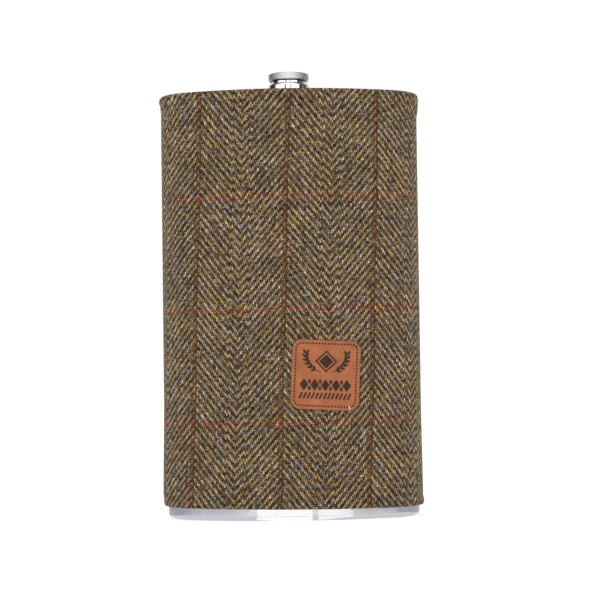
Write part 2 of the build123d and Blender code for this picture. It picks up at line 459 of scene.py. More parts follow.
def wrap_profile():
    """The cloth's path up from its inner bottom edge, round both folds: offset and height at each pick."""
    fold_radius, middle = (HEM_FACE - HEM_INNER) / 2, (HEM_FACE + HEM_INNER) / 2
    tuck, hem_top, ease = 2.2 * MM, 2.6 * MM, 3.0 * MM
    low_centre = wrap_low.z + fold_radius
    turn, rise = np.linspace(math.pi, TAU, 40), np.linspace(0, 1, 30)
    fold = np.stack([middle + fold_radius * np.cos(turn), low_centre + fold_radius * np.sin(turn)], axis=1)
    swell = (HEM_FACE - CLOTH_FACE) * smoothstep(rise, 0, 1)
    settle = np.stack([HEM_FACE - swell, wrap_low.z + hem_top + ease * rise], axis=1)
    low = np.concatenate([[(HEM_INNER, low_centre + tuck)], fold, settle])
    high = low[::-1] * (1, -1) + (0, wrap_low.z + wrap_high.z)
    path = np.concatenate([low, high])
    lengths = np.concatenate([[0], np.cumsum(np.hypot(*np.diff(path, axis=0).T))])
    at = np.linspace(0, lengths[-1], int(lengths[-1] / PICK_PITCH) + 1)
    return np.interp(at, lengths, path[:, 0]), np.interp(at, lengths, path[:, 1]), lengths[-1]


def stand_off(along, z):
    """How far the sleeve stands off the steel: only at the two ends of the section, and most at the hems."""
    round_end = np.abs(along) - FRONT_RUN
    at_end = smoothstep(round_end, 0, 22 * MM) * (1 - smoothstep(round_end, 45 * MM, END_RUN))
    from_low, from_high = z - wrap_low.z, wrap_high.z - z
    foot = 1 - smoothstep(from_low, 5 * MM, 66 * MM)
    left = LEFT_STAND + LEFT_FOOT * foot + LEFT_TOP * (1 - smoothstep(from_high, 1.5 * MM, 11 * MM))
    left = left * smoothstep(from_low, 0, 7.5 * MM) * smoothstep(from_high, -1.5 * MM, 2.5 * MM)
    right = RIGHT_FOOT * foot + RIGHT_TOP * (1 - smoothstep(from_high, 7 * MM, 16 * MM))
    right = right * smoothstep(from_low, -1.5 * MM, 4 * MM) * smoothstep(from_high, 0, 5.5 * MM)
    return at_end * np.where(along < 0, left, right)


def make_wrap(material):
    """The tweed as one sheet round the flask, its ribs and folded hems modelled."""
    offsets, heights, cloth_length = wrap_profile()
    seam_gap = 0.08 * MM
    left_edge, right_edge = ((side * (HALF_GIRTH - seam_gap) - LINE_AT) / END_PITCH for side in (-1, 1))
    whole_ends = np.arange(math.ceil(left_edge), math.floor(right_edge)) + 0.5
    ends = np.concatenate([[left_edge], whole_ends, [right_edge]])
    picks = np.arange(len(heights)) + 0.5
    end, pick = np.meshgrid(ends, picks)
    offset, z = offsets[:, None], heights[:, None]
    along = LINE_AT + end * END_PITCH
    from_hem = np.minimum(z - wrap_low.z, wrap_high.z - z)
    free = smoothstep(from_hem, 3 * MM, 30 * MM)
    near_seam = smoothstep(HALF_GIRTH - np.abs(along), 0, 12 * MM)
    lean = (z - LEAN_LEVEL) * LEAN + WAVE * np.sin(z * TAU / 0.11) * np.cos(along * TAU / 0.09)
    s = along + lean * near_seam
    swing = SLOPE_SWING * np.sin(math.pi * along / HALF_GIRTH)
    ripple = WAVE * np.sin(along * TAU / 0.067 + 1.0) * np.cos(z * TAU / 0.15)
    outer = np.clip((offset - HEM_INNER) / (CLOTH_FACE - HEM_INNER), 0, 1)
    offset = offset + stand_off(along, z) * outer
    near_foot = 1 - smoothstep(z - wrap_low.z, 8 * MM, 60 * MM)
    z = z + (swing + ripple) * free - FOOT_TILT * np.sin(math.pi * along / HALF_GIRTH) * near_foot
    phase = weave_phase(np.floor(end), np.floor(pick))
    at_hem = 1 - smoothstep(from_hem, 0.6 * MM, 3.2 * MM)
    rib = np.where(phase < 2, 0.10, -0.07) * MM * (1 + at_hem)
    rng = np.random.default_rng(7)
    slub = rng.normal(0, 0.018 * MM, rib.shape)
    outward = np.where(np.arange(len(heights))[:, None] < 3, -1.0, 1.0)
    edge_in = 1 - smoothstep(HALF_GIRTH - np.abs(along), 0.1 * MM, 1.6 * MM)
    offset = offset + (rib + slub) * outward - edge_in * 0.35 * MM
    x, y, _, _ = section(s, offset)
    points = np.stack([x, y, z], axis=-1).reshape(-1, 3)
    piece = mesh_piece("tweed_cloth", points, grid_faces(len(picks), len(ends)), material)
    point_attribute(piece, "weave", np.stack([end, pick, np.zeros_like(end)], axis=-1), "FLOAT_VECTOR")
    hand_over(piece, "flask", "tweed_wrap")


# ---- threads


def across_and_up(path, normals):
    """Two unit directions square to a path at each of its points, the second near the normal."""
    along = np.gradient(path, axis=0)
    along /= np.linalg.norm(along, axis=1, keepdims=True)
    across = np.cross(along, normals)
    across /= np.linalg.norm(across, axis=1, keepdims=True)
    return across, np.cross(across, along)


def tube(path, normals, radius, sides):
    """Points and faces of a round tube along a path, closed at both ends."""
    across, up = across_and_up(path, normals)
    angles = np.arange(sides) * TAU / sides
    ring = across[:, None] * np.cos(angles)[None, :, None] + up[:, None] * np.sin(angles)[None, :, None]
    points = (path[:, None] + ring * radius).reshape(-1, 3)
    faces = grid_faces(len(path), sides, closed=True)
    last = (len(path) - 1) * sides
    faces.append(tuple(range(sides))[::-1])
    faces.append(tuple(range(last, last + sides)))
    return points, faces


def plied_thread(path, normals, width, turns, sides=7, steps=22):
    """The two tubes of a twisted two-ply thread along a path."""
    spots = np.linspace(0, len(path) - 1, steps)
    known = np.arange(len(path))
    path, normals = (
        np.stack([np.interp(spots, known, values[:, axis]) for axis in range(3)], axis=1)
        for values in (path, normals)
    )
    across, up = across_and_up(path, normals)
    turn = np.linspace(0, turns * TAU, steps)[:, None]
    strands = []
    for ply in (0, math.pi):
        swing = across * np.cos(turn + ply) + up * np.sin(turn + ply)
        strands.append(tube(path + swing * width * 0.24, normals, width * 0.29, sides))
    return strands


def join_parts(parts):
    """Points and faces of many parts as one."""
    points, faces, first = [], [], 0
    for part_points, part_faces in parts:
        points.append(part_points)
        faces += [tuple(index + first for index in face) for face in part_faces]
        first += len(part_points)
    return np.concatenate(points), faces


def sewing_thread(name, light, dark, ply_scale):
    """Spun thread with fine fibres in light and dark tones, and wider patches of the darker tone."""
    s = Shader(name)
    place = s.object_place()
    fibre = s.noise(place, ply_scale, 4.0, 0.7)
    colour = s.ramp(fibre, [(0.3, dark), (0.7, light)])
    wide = s.noise(place, 220.0, 2.0)
    colour = s.mix(s.spread(wide, 0.35, 0.7, 0.0, 0.35), colour, dark)
    return s.finish(
        Base_Color=colour, Roughness=0.7, Sheen_Weight=0.1, Specular_IOR_Level=0.25,
        Normal=s.bump(fibre, 0.06 * MM, 0.8),
    )


# ---- back seam

SEAM_STITCH_PITCH = 6.0 * MM
SEAM_STITCH_REACH = 1.7 * MM
SEAM_STITCH_SLANT = 1.1 * MM
SEAM_THREAD_WIDTH = 0.55 * MM


def make_seam(material):
    """Slanted stitches that draw the cloth's two edges together down the middle of the back."""
    count = int((seam_high.z - seam_low.z) / SEAM_STITCH_PITCH) + 1
    middle = (seam_high.z + seam_low.z) / 2
    steps = np.linspace(-1, 1, 17)
    parts = []
    for number in range(count):
        z = middle + (number - (count - 1) / 2) * SEAM_STITCH_PITCH
        along = HALF_GIRTH + steps * SEAM_STITCH_REACH
        along = np.where(along > HALF_GIRTH, along - 2 * HALF_GIRTH, along)
        lift = 0.35 * np.cos(steps * math.pi / 2) ** 0.5 - 0.75 * np.abs(steps) ** 7
        x, y, nx, ny = section(along, CLOTH_FACE + lift * MM)
        path = np.stack([x, y, z + steps * SEAM_STITCH_SLANT], axis=1)
        normals = np.stack([nx, ny, np.zeros_like(nx)], axis=1)
        parts += plied_thread(path, normals, SEAM_THREAD_WIDTH, 2.5)
    hand_over(mesh_piece("seam_stitches", *join_parts(parts), material), "flask", "seam_thread")


# ---- leather patch

PATCH_WIDTH = 40.5 * MM
PATCH_HEIGHT = 41.0 * MM
PATCH_CORNER = 5.7 * MM
PATCH_TILT = math.radians(-3.2)
PATCH_X = (patch_low.x + patch_high.x) / 2
PATCH_Z = (patch_low.z + patch_high.z) / 2
PATCH_BACK = CLOTH_FACE + 0.05 * MM
PATCH_FACE = PATCH_BACK + 1.3 * MM
STITCH_INSET = 2.15 * MM
STITCH_COUNT = 76
PATCH_STEPS = 236
EDGE_ROUND = 0.6 * MM
# Where the sewing starts with doubled stitches, and where its cut end shows, as shares of the loop
BACKTACK = 0.222
BACKTACK_COUNT = 5
THREAD_END = 0.958


def patch_x(across, up):
    return PATCH_X + across * math.cos(PATCH_TILT) - up * math.sin(PATCH_TILT)


def patch_place(across, up, offset):
    """Where a point of the patch lies: across and up in its own plane, offset from the steel."""
    x = patch_x(across, up)
    z = PATCH_Z + across * math.sin(PATCH_TILT) + up * math.cos(PATCH_TILT)
    y = FRONT_CENTRE_Y - np.sqrt((FRONT_RADIUS + offset) ** 2 - x**2)
    return np.stack([x, y, z], axis=-1)


def patch_normal(across, up):
    """The outward direction of the front where a point of the patch lies."""
    nx = patch_x(across, up) / FRONT_RADIUS
    return np.stack([nx, -np.sqrt(1 - nx**2), np.zeros_like(nx)], axis=-1)


def from_edge(across, up, inset=0.0):
    """Distance from the patch's rounded outline, positive inside."""
    half_x, half_z = PATCH_WIDTH / 2 - inset, PATCH_HEIGHT / 2 - inset
    corner = PATCH_CORNER - inset
    out_x = np.abs(across) - (half_x - corner)
    out_z = np.abs(up) - (half_z - corner)
    outside = np.hypot(np.maximum(out_x, 0), np.maximum(out_z, 0))
    return corner - outside - np.minimum(np.maximum(out_x, out_z), 0)


def heading_vector(angle):
    return Vector((math.cos(angle), math.sin(angle)))


def rounded_loop(inset, places):
    """Points and directions round the patch at an inset, at shares of the loop from 0 to 1."""
    half_x, half_z = PATCH_WIDTH / 2 - inset, PATCH_HEIGHT / 2 - inset
    corner = PATCH_CORNER - inset
    flat_x, flat_z, bend = 2 * (half_x - corner), 2 * (half_z - corner), corner * math.pi / 2
    loop = 2 * (flat_x + flat_z) + 4 * bend
    spots = []
    sides = [
        (Vector((half_x, -half_z + corner)), math.pi / 2, flat_z),
        (Vector((half_x - corner, half_z)), math.pi, flat_x),
        (Vector((-half_x, half_z - corner)), -math.pi / 2, flat_z),
        (Vector((-half_x + corner, -half_z)), 0.0, flat_x),
    ]
    for share in places:
        run = (share % 1.0) * loop
        for start, heading, flat in sides:
            along = heading_vector(heading)
            if run <= flat:
                spots.append((*(start + along * run), heading))
                break
            run -= flat
            if run <= bend:
                turned = heading + run / corner
                centre = start + along * flat + Vector((-along.y, along.x)) * corner
                spots.append((*(centre + heading_vector(turned - math.pi / 2) * corner), turned))
                break
            run -= bend
    return np.array(spots)


def ellipse_field(across, up, centre, reach, turn):
    """Rough distance inside a turned ellipse, positive inside."""
    dx, dz = across - centre[0], up - centre[1]
    along = dx * math.cos(turn) + dz * math.sin(turn)
    over = -dx * math.sin(turn) + dz * math.cos(turn)
    scaled = np.hypot(along / reach[0], over / reach[1])
    return (1 - scaled) * min(reach)


def line_field(across, up, start, end, width):
    """Distance inside a straight line with round ends, positive inside."""
    start, end = np.array(start), np.array(end)
    run = end - start
    share = ((across - start[0]) * run[0] + (up - start[1]) * run[1]) / (run @ run)
    share = np.clip(share, 0, 1)
    gap = np.hypot(across - start[0] - share * run[0], up - start[1] - share * run[1])
    return width / 2 - gap


def lozenge_field(across, up, centre, reach):
    """Distance inside an upright lozenge, positive inside."""
    gap = 1 - np.abs(across - centre[0]) / reach[0] - np.abs(up - centre[1]) / reach[1]
    return gap * reach[0] * reach[1] / math.hypot(*reach)


def ornament(across, up):
    """Distance inside the burned ornament, positive inside.

    Two barley ears stand round a lozenge, above a row of lozenges and a rope line."""
    a, u = across / MM, up / MM
    fields = []
    # Ears: grains in pairs along two quarter ellipses that rise from the middle
    centre_u, reach_a, reach_u = 11.6, 12.2, 10.2
    for side in (-1, 1):
        turns = np.radians(np.linspace(14, 92, 40))
        stem = np.stack([side * reach_a * np.sin(turns), centre_u - reach_u * np.cos(turns)], axis=1)
        for start, end in zip(stem[:-1:3], stem[3::3]):
            fields.append(line_field(a, u, start, end, 0.45))
        for grain in range(6):
            turn = math.radians(30 + grain * 12.5)
            root_a, root_u = reach_a * math.sin(turn), centre_u - reach_u * math.cos(turn)
            heading = math.atan2(reach_u * math.sin(turn), reach_a * math.cos(turn))
            for way in (-1, 1):
                lean = heading + way * math.radians(33)
                spot = (side * (root_a + 1.6 * math.cos(lean)), root_u + 1.6 * math.sin(lean))
                angle = lean if side > 0 else math.pi - lean
                fields.append(ellipse_field(a, u, spot, (1.42, 0.70), angle))
    outer, middle, inner = (lozenge_field(a, u, (0, 8.0), (reach, reach)) for reach in (6.6, 5.3, 4.3))
    hollow = np.minimum(middle, -inner)
    fields = [np.minimum(np.maximum.reduce([*fields, outer]), -hollow)]
    # Row of lozenges, large and small by turns
    for place in range(-2, 3):
        fields.append(lozenge_field(a, u, (place * 6.3, -5.95), (2.6, 3.6)))
        if place < 2:
            for height in (-7.9, -4.0):
                fields.append(lozenge_field(a, u, ((place + 0.5) * 6.3, height), (1.1, 1.6)))
    # Rope line of slanted strands
    for middle in np.linspace(-14.2, 14.2, 13):
        fields.append(line_field(a, u, (middle - 0.62, -13.7), (middle + 0.62, -10.9), 1.15))
    return np.maximum.reduce(fields) * MM


def backtack_inset(number):
    """How far in from the edge a doubled stitch sits."""
    return STITCH_INSET - (0.60 - 0.12 * number) * MM


def make_patch(material):
    """The leather, with its rounded rim, sewn channel, needle holes and burned ornament modelled."""
    half = np.linspace(-1, 1, PATCH_STEPS)
    u, v = np.meshgrid(half, half)
    square = np.maximum(np.abs(u), np.abs(v))
    safe = np.maximum(square, 1e-9)
    edge_a, edge_u = u / safe * PATCH_WIDTH / 2, v / safe * PATCH_HEIGHT / 2
    pull = np.ones_like(u)
    for _ in range(12):
        pull += from_edge(edge_a * pull, edge_u * pull) / np.hypot(edge_a, edge_u)
    share = 1 + (pull - 1) * square**6
    across, up = u * PATCH_WIDTH / 2 * share, v * PATCH_HEIGHT / 2 * share
    inside = np.maximum(from_edge(across, up), 0)

    rim = np.minimum(inside, EDGE_ROUND)
    top = -EDGE_ROUND + np.sqrt(np.maximum(EDGE_ROUND**2 - (EDGE_ROUND - rim) ** 2, 0))
    channel = -0.25 * MM * np.exp(-(((inside - STITCH_INSET) / (0.55 * MM)) ** 2))
    crown = 0.10 * MM * smoothstep(inside, 2 * MM, 9 * MM)
    holes = np.zeros_like(u)
    spots = [*rounded_loop(STITCH_INSET, (np.arange(STITCH_COUNT) + 0.5) / STITCH_COUNT)]
    for number in range(BACKTACK_COUNT):
        share = BACKTACK + (number + 0.5) / STITCH_COUNT
        spots += [*rounded_loop(backtack_inset(number), [share])]
    for hole_a, hole_u, _ in spots:
        near = (across - hole_a) ** 2 + (up - hole_u) ** 2
        holes = np.maximum(holes, np.exp(-near / (0.56 * MM) ** 2))
    burned = smoothstep(ornament(across, up), -0.10 * MM, 0.10 * MM)
    rng = np.random.default_rng(11)
    pores = rng.normal(0, 0.006 * MM, u.shape)
    relief = top + channel + crown - 0.4 * MM * holes - 0.11 * MM * burned + pores
    face = patch_place(across, up, PATCH_FACE + relief).reshape(-1, 3)
    faces = grid_faces(PATCH_STEPS, PATCH_STEPS)

    # The sides and the flat back, from rings below the rim
    grid = np.arange(u.size).reshape(u.shape)
    rim_loop = np.concatenate([grid[0], grid[1:, -1], grid[-1, -2::-1], grid[-2:0:-1, 0]]).tolist()
    rim_a, rim_u = across.ravel()[rim_loop], up.ravel()[rim_loop]
    points, previous = [face], rim_loop
    total, count = len(face), len(rim_loop)
    for depth, shrink in ((0.45, 1.0), (0.15, 1.0), (0.0, 0.992), (0.0, 0.97)):
        points.append(patch_place(rim_a * shrink, rim_u * shrink, PATCH_BACK + depth * MM))
        current = list(range(total, total + count))
        total += count
        for index in range(count):
            beside = (index + 1) % count
            faces.append((previous[index], current[index], current[beside], previous[beside]))
        previous = current
    points.append(patch_place(np.zeros(1), np.zeros(1), PATCH_BACK))
    for index in range(count):
        faces.append((previous[index], total, previous[(index + 1) % count]))
    piece = mesh_piece("patch_leather", np.concatenate(points), faces, material)
    spare = np.zeros(total + 1 - len(face))
    for name, values in (("burned", burned), ("holes", holes), ("inside", inside / MM)):
        point_attribute(piece, name, np.concatenate([values.ravel(), spare]))
    hand_over(piece, "flask", "leather_patch")


def make_patch_stitches(material, end_material):
    """Short plied stitches round the patch, the doubled ones where the sewing began, and its cut end."""
    pitch = 1 / STITCH_COUNT
    parts = []
    steps = np.linspace(-1, 1, 11)

    def stitch(middle, inset, turn_aside=0.0):
        spots = rounded_loop(inset, middle + steps * 0.25 * pitch)
        lift = -0.13 + 0.20 * np.cos(steps * math.pi / 2) - 0.55 * np.abs(steps) ** 6
        aside = turn_aside * steps * MM
        across = spots[:, 0] - np.sin(spots[:, 2]) * aside
        up = spots[:, 1] + np.cos(spots[:, 2]) * aside
        path = patch_place(across, up, PATCH_FACE + lift * MM)
        return plied_thread(path, patch_normal(across, up), 0.40 * MM, 1.6, sides=6, steps=14)

    for number in range(STITCH_COUNT):
        parts += stitch((number + 1.0) * pitch, STITCH_INSET, 0.10)
    for number in range(BACKTACK_COUNT):
        parts += stitch(BACKTACK + number * pitch, backtack_inset(number), -0.10)
    hand_over(mesh_piece("patch_stitches", *join_parts(parts), material), "flask", "patch_thread")

    start_across, start_up, _ = rounded_loop(STITCH_INSET, [THREAD_END])[0]
    steps = np.linspace(0, 1, 12)
    across = start_across + (1.1 * steps + 0.25 * np.sin(steps * 5)) * MM
    up = start_up + (0.1 - 1.0 * steps + 0.25 * np.cos(steps * 4)) * MM
    path = patch_place(across, up, PATCH_FACE + (0.05 + 0.5 * np.sin(steps * 2.4)) * MM)
    parts = plied_thread(path, patch_normal(across, up), 0.75 * MM, 2.5, sides=8)
    hand_over(mesh_piece("thread_end", *join_parts(parts), end_material), "flask")


def leather():
    """Smooth tan leather with fine pores, a burnished rim, scorched marks and painted shade in the needle
    holes.
    """
    s = Shader("tan_leather")
    place = s.object_place()
    burned, holes, inside = (s.attribute(name) for name in ("burned", "holes", "inside"))
    cloud = s.noise(place, 130.0, 4.0, 0.6)
    colour = s.ramp(cloud, [(0.25, 152, 85, 46), (0.5, 172, 99, 55), (0.78, 192, 116, 66)])
    grain = s.noise(place, 1300.0, 4.0, 0.65)
    crease = s.cell_edges(place, 1500.0)
    hollows = s.spread(grain, 0.32, 0.62, 0.45, 0.0)
    creases = s.spread(crease, 0.0, 0.12, 0.35, 0.0)
    pressed = s.spread(abs(inside - STITCH_INSET / MM), 0.2, 1.1, 0.35, 0.0)
    rim = s.spread(inside, 0.05, 0.45, 0.55, 0.0)
    # Painted shade in the needle holes, near black
    hole_shade = s.spread(holes, 0.34, 0.56, 0.0, 0.98)
    ash = s.ramp(s.noise(place, 900.0, 4.0, 0.7), [(0.3, 32, 24, 20), (0.75, 68, 49, 39)])
    for amount, over in (
        (hollows, srgb(122, 70, 42)), (creases, srgb(112, 62, 38)), (pressed, srgb(196, 118, 78)),
        (rim, srgb(150, 92, 58)), (hole_shade, srgb(50, 25, 12)), (burned, ash),
    ):
        colour = s.mix(amount, colour, over)
    relief = s.spread(crease, 0.0, 0.25) * 0.6 + grain * 0.6
    roughness = s.mix_number(burned, s.spread(cloud, 0.2, 0.8, 0.46, 0.58), 0.85)
    return s.finish(
        Base_Color=colour, Roughness=roughness, Specular_IOR_Level=0.35,
        Normal=s.bump(relief, 0.09 * MM, 0.8),
    )


# ---- steel, rubber and backing


def turned_steel(name, colour, roughness, groove_scale, groove_depth, stains=0.06, painted_shade=None, axis_y=None):
    """Stainless steel with fine machining lines, faint handling marks and uneven polish.

    The lines run level, or round the cap's axis when axis_y is given. The shade function, when given, gives
    the share of painted shade at each place, which turns the steel near black."""
    s = Shader(name)
    place = s.object_place()
    line_place = s.scaled(place, (0.012, 0.012, 1.0))
    if axis_y is not None:
        x, y, z = s.split(place)
        line_place = s.vector(s.distance(x, y - axis_y), 0.0, z)
    lines = s.noise(line_place, groove_scale, 4.0, 0.7)
    scratches = s.noise(s.scaled(place, (0.15, 0.15, 1.0)), groove_scale * 0.35, 3.0, 0.8)
    clouds = s.noise(place, 55.0, 3.0)
    tint = s.mix(s.spread(clouds, 0.35, 0.7, 0.0, stains * 3), colour, (0.50, 0.47, 0.46, 1.0))
    worn = s.spread(clouds, 0.3, 0.8, 0.0, stains)
    rough = s.spread(lines, 0.3, 0.7, roughness * 0.8, roughness * 1.2) + worn
    relief = lines + scratches * 0.5
    if painted_shade:
        # Painted shade: the steel darkens to near black where the cap's parts lie in shade
        shaded = painted_shade(s)
        tint = s.mix(shaded, tint, (0.035, 0.03, 0.028, 1.0))
        rough = s.mix_number(shaded, rough, 0.55)
    return s.finish(Base_Color=tint, Metallic=1.0, Roughness=rough, Normal=s.bump(relief, groove_depth, 0.6))


def shade_under_cap(s):
    """Painted shade on the underside of the cap's shell."""
    return s.attribute("painted_shade")


def shade_in_groove(s):
    """Painted shade in the groove between the cap's shell and its lip."""
    _, _, z = s.split(s.object_place())
    return s.spread(z, GROOVE_LOW - 0.02 * MM, GROOVE_LOW + 0.03 * MM)


# Height where the groove under the cap's shell starts
GROOVE_LOW = cap_low.z - 0.5 * MM


def rubber():
    """Milky silicone with a fine moulded grain and a dusty bloom."""
    s = Shader("silicone")
    place = s.object_place()
    cloud = s.noise(place, 180.0, 3.0)
    colour = s.ramp(cloud, [(0.3, 206, 203, 196), (0.7, 226, 224, 219)])
    grain = s.noise(place, 2400.0, 3.0, 0.6)
    return s.finish(
        Base_Color=colour, Roughness=s.spread(grain, 0.3, 0.7, 0.4, 0.6), Subsurface_Weight=0.15,
        Subsurface_Scale=0.002, Normal=s.bump(grain, 0.03 * MM, 0.6),
    )


def felt():
    """Pressed grey-brown backing felt with matted fibres."""
    s = Shader("backing_felt")
    place = s.object_place()
    fibre = s.noise(s.scaled(place, (1.0, 1.0, 2.5)), 900.0, 5.0, 0.7)
    clump = s.noise(place, 240.0, 3.0)
    colour = s.ramp(fibre, [(0.3, 52, 46, 40), (0.55, 86, 78, 68), (0.75, 120, 110, 96)])
    colour = s.mix(s.spread(clump, 0.3, 0.7, 0.0, 0.4), colour, srgb(70, 62, 54))
    return s.finish(
        Base_Color=colour, Roughness=0.95, Sheen_Weight=0.15, Specular_IOR_Level=0.15,
        Normal=s.bump(fibre, 0.15 * MM, 0.8),
    )


# ---- knurled cap

KNURL_RIDGES = 66
KNURL_RISE = 2.0 * MM
KNURL_DEPTH = 0.13 * MM
KNURL_STEPS = 576


def make_cap(material):
    """The cap's outer shell: a turned top, a diamond knurl with a rounded edge, and a plain lower rim."""
    radius = (cap_high.x - cap_low.x) / 2
    low, high = cap_low.z, cap_high.z
    edge = 0.55 * MM
    knurl_low, knurl_high = low + 0.55 * MM, high - edge
    # Up the bore, across the underside and up the plain rim, as mm in from the outside and mm above the edge
    turned = [(1.9, 1.4), (1.9, 0.1), (1.8, 0.0), (1.2, 0.0), (0.95, 0.0), (0.62, 0.0),
              (0.50, 0.04), (0.18, 0.34), (0.08, 0.44), (0.08, 0.5225)]
    # Each row of the profile is its radius, its height and how deep its knurl is
    profile = [(radius - inward * MM, low + height * MM, 0) for inward, height in turned]
    profile += [(radius, z, 1) for z in np.linspace(knurl_low, knurl_high, 34)]
    for turn in np.linspace(0, math.pi / 2, 9)[1:]:
        rounded = (radius - edge * (1 - math.cos(turn)), knurl_high + edge * math.sin(turn))
        profile.append((*rounded, max(0.0, 1 - turn)))
    for share, drop in ((0.93, 0.0), (0.9, 0.05), (0.88, 0.05), (0.6, 0.03), (0.3, 0.01), (0.05, 0.0)):
        profile.append(((radius - edge) * share, high - drop * MM, 0))
    r, z, depth = (np.array(column)[:, None] for column in zip(*profile))
    turn = np.arange(KNURL_STEPS) * TAU / KNURL_STEPS
    around, climb = turn * KNURL_RIDGES / TAU, (z - low) / KNURL_RISE
    ridges = [1 - np.abs(2 * np.mod(around + way * climb, 1.0) - 1) for way in (-1, 1)]
    crown = np.minimum(np.minimum(*ridges) * 1.7, 1.0)
    r = r - KNURL_DEPTH * (1 - crown) * depth
    x, y, z = np.broadcast_arrays(r * np.cos(turn), NECK_Y + r * np.sin(turn), z)
    points = np.stack([x, y, z], axis=-1).reshape(-1, 3)
    points = np.concatenate([points, [[0, NECK_Y, high]]])
    faces = grid_faces(len(profile), KNURL_STEPS, closed=True)
    last = (len(profile) - 1) * KNURL_STEPS
    for step in range(KNURL_STEPS):
        faces.append((last + step, last + (step + 1) % KNURL_STEPS, len(points) - 1))
    piece = mesh_piece("cap_knurled", points, faces, material)
    # The shell's underside is marked for painted shade
    from_axis = np.hypot(points[:, 0], points[:, 1] - NECK_Y)
    under = (points[:, 2] < low + 0.02 * MM) & (from_axis < radius - 1.0 * MM)
    point_attribute(piece, "painted_shade", np.where(under, 1.0, 0.0))
    hand_over(piece, "cap", "cap_shell")


# ---- stage


def grey(value, blue=1.0):
    return (value, value * 0.99, value * blue, 1.0)


def compass_stops(entries):
    """Ramp stops from (angle, brightness, blueness), or (angle, colour).

    The angle is that of the compass seen from the camera, in degrees, positive to the right."""
    stops = []
    for angle, *shade in entries:
        colour = shade[0] if isinstance(shade[0], tuple) else grey(*shade)
        stops.append(((angle + 180) / 360, colour))
    return stops


BROWN_WALL = (0.26, 0.165, 0.095, 1.0)
TAN_GAP = (0.62, 0.50, 0.42, 1.0)
# What a polished face that looks slightly upwards reflects
HIGH_WALLS = compass_stops([
    (-180, 1.2, 1.06), (-138, 1.0, 1.08), (-124, 0.5, 1.1), (-114, 0.02), (-96, 0.02), (-88, 0.08),
    (-80, 0.12), (-72, 1.3), (-66, 1.8), (-23, 1.8), (-20.5, 0.04), (-15, 0.04), (-12.5, 1.8),
    (5.5, 1.8), (8, TAN_GAP), (12, TAN_GAP), (14.5, 1.8), (56, 1.8), (63, 0.05), (74, 0.05),
    (80, BROWN_WALL), (92, BROWN_WALL), (98, 0.08), (106, 0.08), (114, 0.45), (140, 0.95, 1.05),
    (180, 1.2, 1.06),
])
# What a face that looks level or slightly down reflects
LOW_WALLS = compass_stops([
    (-180, 1.0, 1.08), (-140, 0.6, 1.1), (-118, 0.05), (-84, 0.05), (-72, 0.8, 1.06), (-50, 1.05, 1.04),
    (-20.5, 1.1, 1.03), (-18, 3.4), (8.5, 3.4), (10, 1.1), (12, 1.1), (13.5, 3.2), (22, 3.0),
    (25.5, 1.15, 1.03), (48, 1.05, 1.03), (64, 0.45, 1.06), (76, 0.3), (90, 0.25), (124, 0.4, 1.1),
    (150, 0.9, 1.08), (180, 1.0, 1.08),
])
# What a face that looks well upwards reflects: two soft boxes with darker gaps between
CEILING = compass_stops([
    (-180, 1.2), (-140, 1.0), (-118, 0.3), (-106, 0.04), (-82, 0.05), (-73, 0.7), (-60, 1.2), (-25, 1.45),
    (25, 1.45), (56, 1.2), (66, 0.1), (98, 0.1), (118, 0.45), (140, 1.0), (180, 1.2),
])


def white_stage():
    """A large pale floor in a soft white studio, whose walls are painted for what the steel reflects."""
    s = Shader("pale_floor")
    grain = s.noise(s.object_place(), 30.0, 3.0)
    colour = s.ramp(grain, [(0.3, (0.44, 0.44, 0.44, 1)), (0.7, (0.47, 0.47, 0.47, 1))])
    floor_material = s.finish(
        Base_Color=colour, Roughness=0.9, Specular_IOR_Level=0.0,
        Emission_Color=(1.0, 1.0, 1.0, 1.0), Emission_Strength=0.66,
    )
    half = 6.0
    corners = [(-half, -half, 0), (half, -half, 0), (half, half, 0), (-half, half, 0)]
    floor = mesh_piece("floor", corners, [(0, 1, 2, 3)], floor_material, smooth=False)

    world = bpy.data.worlds.new("studio")
    bpy.context.scene.world = world
    world.use_nodes = True
    world.cycles.sampling_method = "NONE"
    w = Nodes(world.node_tree)
    x, y, z = w.split(w.wired("ShaderNodeTexCoord", (), "Generated"))
    share = w.math("ARCTAN2", x, y * -1.0) / TAU + 0.5
    walls = w.mix(w.spread(z, 0.125, 0.155), w.ramp(share, LOW_WALLS), w.ramp(share, HIGH_WALLS))
    seen = w.mix(w.spread(z, 0.172, 0.24), walls, w.ramp(share, CEILING))
    soft = w.mix(w.spread(z, -0.2, 0.9), grey(0.88), grey(1.12))
    rays = w.node("ShaderNodeLightPath").outputs
    light = w.mix(Wire(w, rays["Is Glossy Ray"]), soft, seen)
    light = w.mix(Wire(w, rays["Is Camera Ray"]), light, (1.02, 1.02, 1.02, 1.0))
    background = world.node_tree.nodes["Background"]
    w.feed(background.inputs["Color"], light)
    bpy.context.scene.view_settings.view_transform = "Standard"


def soft_light(name, place, aim, size, power):
    """A white area light that points at aim, and doesn't show in reflections."""
    data = bpy.data.lights.new(name, "AREA")
    data.shape = "RECTANGLE"
    data.size, data.size_y = size
    data.energy = power
    lamp = new_object(name, data)
    lamp.location = place
    lamp.rotation_mode = "QUATERNION"
    lamp.rotation_quaternion = (Vector(aim) - Vector(place)).to_track_quat("-Z", "Y")
    lamp.visible_glossy = False
    return lamp


def low_strip(name, left, right, strength):
    """An angled strip of light at the front of the flask's foot, that shows only in the steel."""
    tall, deep, gap = 7.0 * MM, 5.0 * MM, 1.5 * MM
    middle, width, y = (left + right) / 2, right - left, body_low.y
    place, aim = (middle, y - gap, tall / 2), (middle, 0, tall / 2)
    standing = soft_light(name + "_standing", place, aim, (width, tall), strength * tall)
    place, aim = (middle, y, 0.1 * MM), (middle, y, 1.0)
    lying = soft_light(name + "_lying", place, aim, (width, deep), strength * deep * 1.6)
    for strip in (standing, lying):
        strip.visible_glossy = True
        strip.visible_diffuse = strip.visible_camera = False


